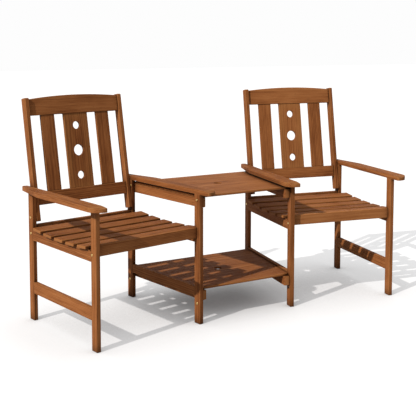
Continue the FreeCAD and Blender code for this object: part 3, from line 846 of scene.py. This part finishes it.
@dataclass
class TableSet:
    """The table top, the shelf and their rails."""

    wood: bpy.types.Material
    chairs: dict[Side, Chair]
    hole_radius: float = 18.0 * MM
    board_edge_radius: float = 2.5 * MM
    table_rail_setback: float = 10.0 * MM
    shelf_rail_setback: float = 4.0 * MM
    rail_corner_radius: float = 6.0 * MM

    def build(self) -> None:
        """Make both boards and the four rails."""
        for level in ("table", "shelf"):
            for side, chair in self.chairs.items():
                setback = (self.table_rail_setback if level == "table"
                           else self.shelf_rail_setback)
                self.build_rail(f"{side.prefix}_{level}_rail", chair, setback)
        self.build_board("table_top")
        self.build_board("shelf_board")

    def build_rail(self, node: str, chair: Chair, setback: float) -> None:
        """A rail with its table-side corners rounded.

        Args:
            node: The node that it replaces.
            chair: The chair that carries it.
            setback: How far behind the node's front end the photograph shows it.
        """
        rail = Board(node, chair.place, Axis.BACK)
        rail.shift(lambda v: v.co.y < rail.low.y + NEAR, Vector((0, setback, 0)))
        rail.low.y += setback
        far = rail.low.x if chair.side is Side.RIGHT else rail.high.x

        def wanted(edge):
            """Upright edges on the side that faces the table."""
            first, second = (vertex.co for vertex in edge.verts)
            return (first - second).xy.length < UPRIGHT and abs(first.x - far) < SAME

        rail.round_corners(wanted, self.rail_corner_radius, 5)
        rail.finish(self.wood, board_tone(node))

    def build_board(self, node: str) -> None:
        """A wedge-shaped board, wider at the rear, with a pole hole."""
        board = Board(node, Matrix.Identity(4), Axis.ACROSS, self.board_edge_radius)
        points = [v.co for v in frame["nodes"][node].data.vertices]
        front_half = max(p.x for p in points if p.y < board.low.y + 4 * MM)
        inset = board.high.x - front_half
        for sign in (-1, 1):
            board.shift(lambda v, s=sign: v.co.y < board.low.y + NEAR and v.co.x * s > 0,
                        Vector((-sign * inset, 0, 0)))
        hole = hole_centre(node)
        board.drill(hole, Axis.UP, self.hole_radius, board.size.z * 4, 64)
        board.finish(self.wood, board_tone(node))


def hole_centre(node: str) -> Vector:
    """Where the pole's hole goes through a board, from the record's mounts."""
    name = "table_pole_hole" if node == "table_top" else "shelf_pole_hole"
    mount = next(m for m in frame["record"]["mounts"] if m["name"] == name)
    return Vector(mount["pos_m"])


@dataclass
class Hardware:
    """Bolts and nuts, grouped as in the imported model."""

    bolt: bpy.types.Material
    nut: bpy.types.Material
    chairs: dict[Side, Chair]
    head_radius: float = 5.0 * MM
    head_thick: float = 2.0 * MM
    shank_radius: float = 3.0 * MM
    socket_radius: float = 2.3 * MM
    socket_floor: float = 0.3
    head_easing: float = 0.8 * MM
    nut_easing: float = 0.4 * MM
    bore_play: float = 0.3 * MM
    round_sides: int = 32
    bore_sides: int = 24

    def build(self) -> None:
        """Make every fastener."""
        for node in ("cross_rail_bolts", "stile_bolts", "table_rail_bolts", "lower_leg_bolts"):
            self.build_group(node, self.bolt, self.make_bolt)
        self.build_group("lower_leg_nuts", self.nut, self.make_nut)
        self.build_group("barrel_nuts", self.nut, self.make_barrel)

    def build_group(self, node: str, metal: bpy.types.Material, make) -> None:
        """Make one fastener for each solid of a node and join them."""
        copies = []
        for low, high, head_at_low, chair in solids_of(node, self.chairs):
            copies.append(make(low, high, head_at_low, chair))
        deselect_all()
        for copy in copies:
            copy.select_set(True)
        bpy.context.view_layer.objects.active = copies[0]
        bpy.ops.object.join()
        piece = bpy.context.object
        piece.name = f"{node}_set"
        bpy.ops.object.transform_apply(location=True, rotation=True, scale=True)
        piece.data.materials.clear()
        piece.data.materials.append(metal)
        bpy.ops.object.shade_smooth_by_angle(angle=math.radians(35))
        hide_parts(node)
        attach(piece, ROOT_BODY)
        log.info("%s: %d pieces", node, len(copies))

    def cylinder(self, radius: float, start: float, stop: float,
                 corners: int) -> bpy.types.Object:
        """A cylinder along x between two places."""
        deselect_all()
        bpy.ops.mesh.primitive_cylinder_add(
            vertices=corners, radius=radius, depth=stop - start,
            location=((start + stop) / 2, 0, 0), rotation=(0, math.pi / 2, 0))
        piece = bpy.context.object
        bpy.ops.object.transform_apply(location=True, rotation=True, scale=True)
        return piece

    def put(self, piece: bpy.types.Object, seat: Vector, forward: bool,
            chair: Chair) -> bpy.types.Object:
        """Turn a fastener that lies along x to its seat in a chair."""
        turn = Matrix.Identity(4) if forward else Matrix.Rotation(math.pi, 4, "Z")
        piece.matrix_world = chair.place @ Matrix.Translation(seat) @ turn
        make_active(piece)
        bpy.ops.object.transform_apply(location=True, rotation=True, scale=True)
        return piece

    def make_bolt(self, low: Vector, high: Vector, head_at_low: bool,
                  chair: Chair) -> bpy.types.Object:
        """A flat-headed bolt with a hexagon socket, its head's edge rounded."""
        length = high.x - low.x - self.head_thick
        head = self.cylinder(self.head_radius, -self.head_thick, 0.0, self.round_sides)
        edit_select(head, "EDGE", lambda e: all(v.co.x < -self.head_thick + SAME for v in e.verts))
        bpy.ops.mesh.bevel(offset=self.head_easing, segments=3, affect="EDGES")
        bpy.ops.object.mode_set(mode="OBJECT")
        socket = self.cylinder(self.socket_radius, -self.head_thick * 1.5,
                               -self.head_thick * self.socket_floor, 6)
        apply_modifier(head, "BOOLEAN", object=socket, operation="DIFFERENCE", solver="EXACT")
        remove_object(socket)
        edit_select(head, "FACE",
                    lambda f: f.normal.x > 0.99 and f.calc_center_median().x > -UPRIGHT)
        bpy.ops.mesh.inset(thickness=self.head_radius - self.shank_radius)
        bpy.ops.mesh.extrude_region_move(TRANSFORM_OT_translate={"value": (length, 0, 0)})
        bpy.ops.object.mode_set(mode="OBJECT")
        centre = (low + high) / 2
        start = low.x + self.head_thick if head_at_low else high.x - self.head_thick
        return self.put(head, Vector((start, centre.y, centre.z)), head_at_low, chair)

    def bore_and_ease(self, piece: bpy.types.Object, half: float, easing_deg: float) -> None:
        """Bore a fastener along x for the shank and ease its rims.

        Args:
            piece: The fastener.
            half: Half its length; the bore reaches twice as far.
            easing_deg: The angle from which an edge counts as a rim.
        """
        bore = self.cylinder(self.shank_radius + self.bore_play, -half * 2, half * 2,
                             self.bore_sides)
        apply_modifier(piece, "BOOLEAN", object=bore, operation="DIFFERENCE", solver="EXACT")
        remove_object(bore)
        apply_modifier(piece, "BEVEL", width=self.nut_easing, segments=2, limit_method="ANGLE",
                       angle_limit=math.radians(easing_deg))

    def make_nut(self, low: Vector, high: Vector, head_at_low: bool,
                 chair: Chair) -> bpy.types.Object:
        """A round nut with a bored middle and eased rims."""
        half = (high.x - low.x) / 2
        nut = self.cylinder((high.z - low.z) / 2, -half, half, self.round_sides)
        self.bore_and_ease(nut, half, 40)
        return self.put(nut, (low + high) / 2, True, chair)

    def make_barrel(self, low: Vector, high: Vector, head_at_low: bool,
                    chair: Chair) -> bpy.types.Object:
        """A barrel nut along the chair's depth with its bolt's hole across it."""
        half = (high.y - low.y) / 2
        barrel = self.cylinder((high.z - low.z) / 2, -half, half, self.round_sides)
        barrel.rotation_euler = (0, 0, math.pi / 2)
        make_active(barrel)
        bpy.ops.object.transform_apply(location=True, rotation=True, scale=True)
        self.bore_and_ease(barrel, half, 50)
        return self.put(barrel, (low + high) / 2, True, chair)


def solids_of(node: str, chairs: dict[Side, Chair]):
    """Split a node of equal fasteners into its solids.

    Args:
        node: The node's name.
        chairs: Both chairs, for their frames.

    Returns:
        For each solid its lowest and highest corner in its chair's frame, whether its
        wide end is at the low end, and the chair.
    """
    work = bmesh.new()
    work.from_mesh(frame["nodes"][node].data)
    bmesh.ops.remove_doubles(work, verts=work.verts, dist=SAME)
    left = set(work.verts)
    found = []
    while left:
        group = [left.pop()]
        for vertex in group:
            for edge in vertex.link_edges:
                other = edge.other_vert(vertex)
                if other in left:
                    left.discard(other)
                    group.append(other)
        chair = chairs[Side.RIGHT if group[0].co.x > 0 else Side.LEFT]
        points = [chair.place.inverted() @ vertex.co for vertex in group]
        low = Vector(min(p[i] for p in points) for i in range(3))
        high = Vector(max(p[i] for p in points) for i in range(3))
        centre_z = (low.z + high.z) / 2
        widest = max(points, key=lambda p: abs(p.z - centre_z))
        found.append((low, high, widest.x < (low.x + high.x) / 2, chair))
    work.free()
    return found


@dataclass
class Studio:
    """Floor, lights and camera.

    The camera stands where the photograph's did, found by fitting its view of the legs.
    The sun's heading and height are those of the photograph's floor shadows.
    """

    camera_place: tuple[float, float, float] = (-1.8913, -3.1214, 1.1495)
    heading_deg: float = 60.229
    dip_deg: float = 5.026
    lens_mm: float = 72.375
    shift: tuple[float, float] = (0.0171, -0.22)
    sun_heading_deg: float = 16.4
    sun_height_deg: float = 38.2
    sun_strength: float = 3.15
    sun_angle_deg: float = 0.8
    world_strength: float = 0.31
    floor_seen: str = "#B9B9BB"
    floor_bounce: str = "#A9AAAD"
    floor_glow: float = 0.65
    # How far the floor's painted shade looks for boards above it.
    shade_reach: float = 0.5
    backdrop: str = "#FDFDFD"
    sun_colour: str = "#FFFAF3"
    floor_size: float = 60.0
    floor_gap: float = 0.5 * MM

    def build(self) -> None:
        """Set up the view and its light."""
        scene = bpy.context.scene
        scene.view_settings.view_transform = "Standard"
        self.build_camera(scene)
        self.build_floor()
        self.build_light(scene)

    def build_camera(self, scene: bpy.types.Scene) -> None:
        """Stand the camera at the photograph's place."""
        data = bpy.data.cameras.new("camera")
        data.lens = self.lens_mm
        data.sensor_width = 36.0
        data.shift_x, data.shift_y = self.shift
        camera = bpy.data.objects.new("camera", data)
        scene.collection.objects.link(camera)
        heading, dip = math.radians(self.heading_deg), math.radians(self.dip_deg)
        ahead = Vector((math.cos(heading) * math.cos(dip), math.sin(heading) * math.cos(dip),
                        -math.sin(dip)))
        camera.location = self.camera_place
        camera.rotation_euler = ahead.to_track_quat("-Z", "Y").to_euler()
        scene.camera = camera

    def build_floor(self) -> None:
        """A wide pale floor that keeps the bench's shadow, seen light by the camera, with painted
        shade under the bench.
        """
        deselect_all()
        bpy.ops.mesh.primitive_plane_add(size=self.floor_size, location=(0, 0, -self.floor_gap))
        floor = bpy.context.object
        floor.name = "floor"
        material, shader = new_material("pale_floor")
        tree = material.node_tree
        shader.inputs["Roughness"].default_value = 0.9
        shader.inputs["Specular IOR Level"].default_value = 0.1
        shader.inputs["Emission Color"].default_value = (1, 1, 1, 1)
        seen = self.seen_share(tree)
        tint = add_node(tree, "ShaderNodeMix", {0: seen},
                        {6: linear(self.floor_bounce), 7: linear(self.floor_seen)},
                        data_type="RGBA")
        tree.links.new(tint.outputs[2], shader.inputs["Base Color"])

        # Painted shade: the floor's glow is cut by ambient occlusion, so it is darker where boards
        # are close above it.
        open_sky = add_node(tree, "ShaderNodeAmbientOcclusion",
                            inputs={"Distance": self.shade_reach}, samples=8).outputs["AO"]
        level = add_node(tree, "ShaderNodeMath", {0: open_sky}, {1: self.floor_glow},
                         operation="MULTIPLY")
        glow = add_node(tree, "ShaderNodeMath", {0: level.outputs[0], 1: seen},
                        operation="MULTIPLY")
        tree.links.new(glow.outputs[0], shader.inputs["Emission Strength"])
        floor.data.materials.append(material)

    def seen_share(self, tree: bpy.types.NodeTree) -> bpy.types.NodeSocket:
        """1 for rays that see the backdrop, straight, mirrored or through; 0 for its light."""
        path = add_node(tree, "ShaderNodeLightPath")
        seen = path.outputs["Is Camera Ray"]
        for other in ("Is Glossy Ray", "Is Transmission Ray"):
            seen = add_node(tree, "ShaderNodeMath", {0: seen, 1: path.outputs[other]},
                            operation="MAXIMUM").outputs[0]
        return seen

    def build_light(self, scene: bpy.types.Scene) -> None:
        """A soft sun from behind the camera's left and an even pale world."""
        data = bpy.data.lights.new("sun", "SUN")
        data.energy = self.sun_strength
        data.angle = math.radians(self.sun_angle_deg)
        data.color = linear(self.sun_colour)[:3]
        sun = bpy.data.objects.new("sun", data)
        scene.collection.objects.link(sun)
        heading, height = math.radians(self.sun_heading_deg), math.radians(self.sun_height_deg)
        ray = Vector((math.cos(heading) * math.cos(height), math.sin(heading) * math.cos(height),
                      -math.sin(height)))
        sun.rotation_euler = ray.to_track_quat("-Z", "Y").to_euler()
        world = bpy.data.worlds.new("studio")
        scene.world = world
        world.use_nodes = True
        tree = world.node_tree
        tree.nodes.clear()
        fill = add_node(tree, "ShaderNodeBackground",
                        inputs={"Color": linear("#FFFFFF"), "Strength": self.world_strength})
        white = add_node(tree, "ShaderNodeBackground",
                         inputs={"Color": linear(self.backdrop), "Strength": 1.0})
        mix = add_node(tree, "ShaderNodeMixShader",
                       {0: self.seen_share(tree), 1: fill.outputs[0], 2: white.outputs[0]})
        add_node(tree, "ShaderNodeOutputWorld", {0: mix.outputs[0]})


def main() -> None:
    """Build the bench's looks and the studio around it."""
    wood = OiledHardwood().material()
    brass = PlatedSteel("yellow_plated_steel", "#E4C88E", "#B8985A", 0.34).material()
    zinc = PlatedSteel("zinc_plated_steel", "#C9CACB", "#8F9092", 0.38).material()
    chairs = {side: Chair(side, wood) for side in Side}
    for chair in chairs.values():
        chair.build()
    TableSet(wood, chairs).build()
    Hardware(brass, zinc, chairs).build()
    Studio().build()


if __name__ == "__main__":
    main()
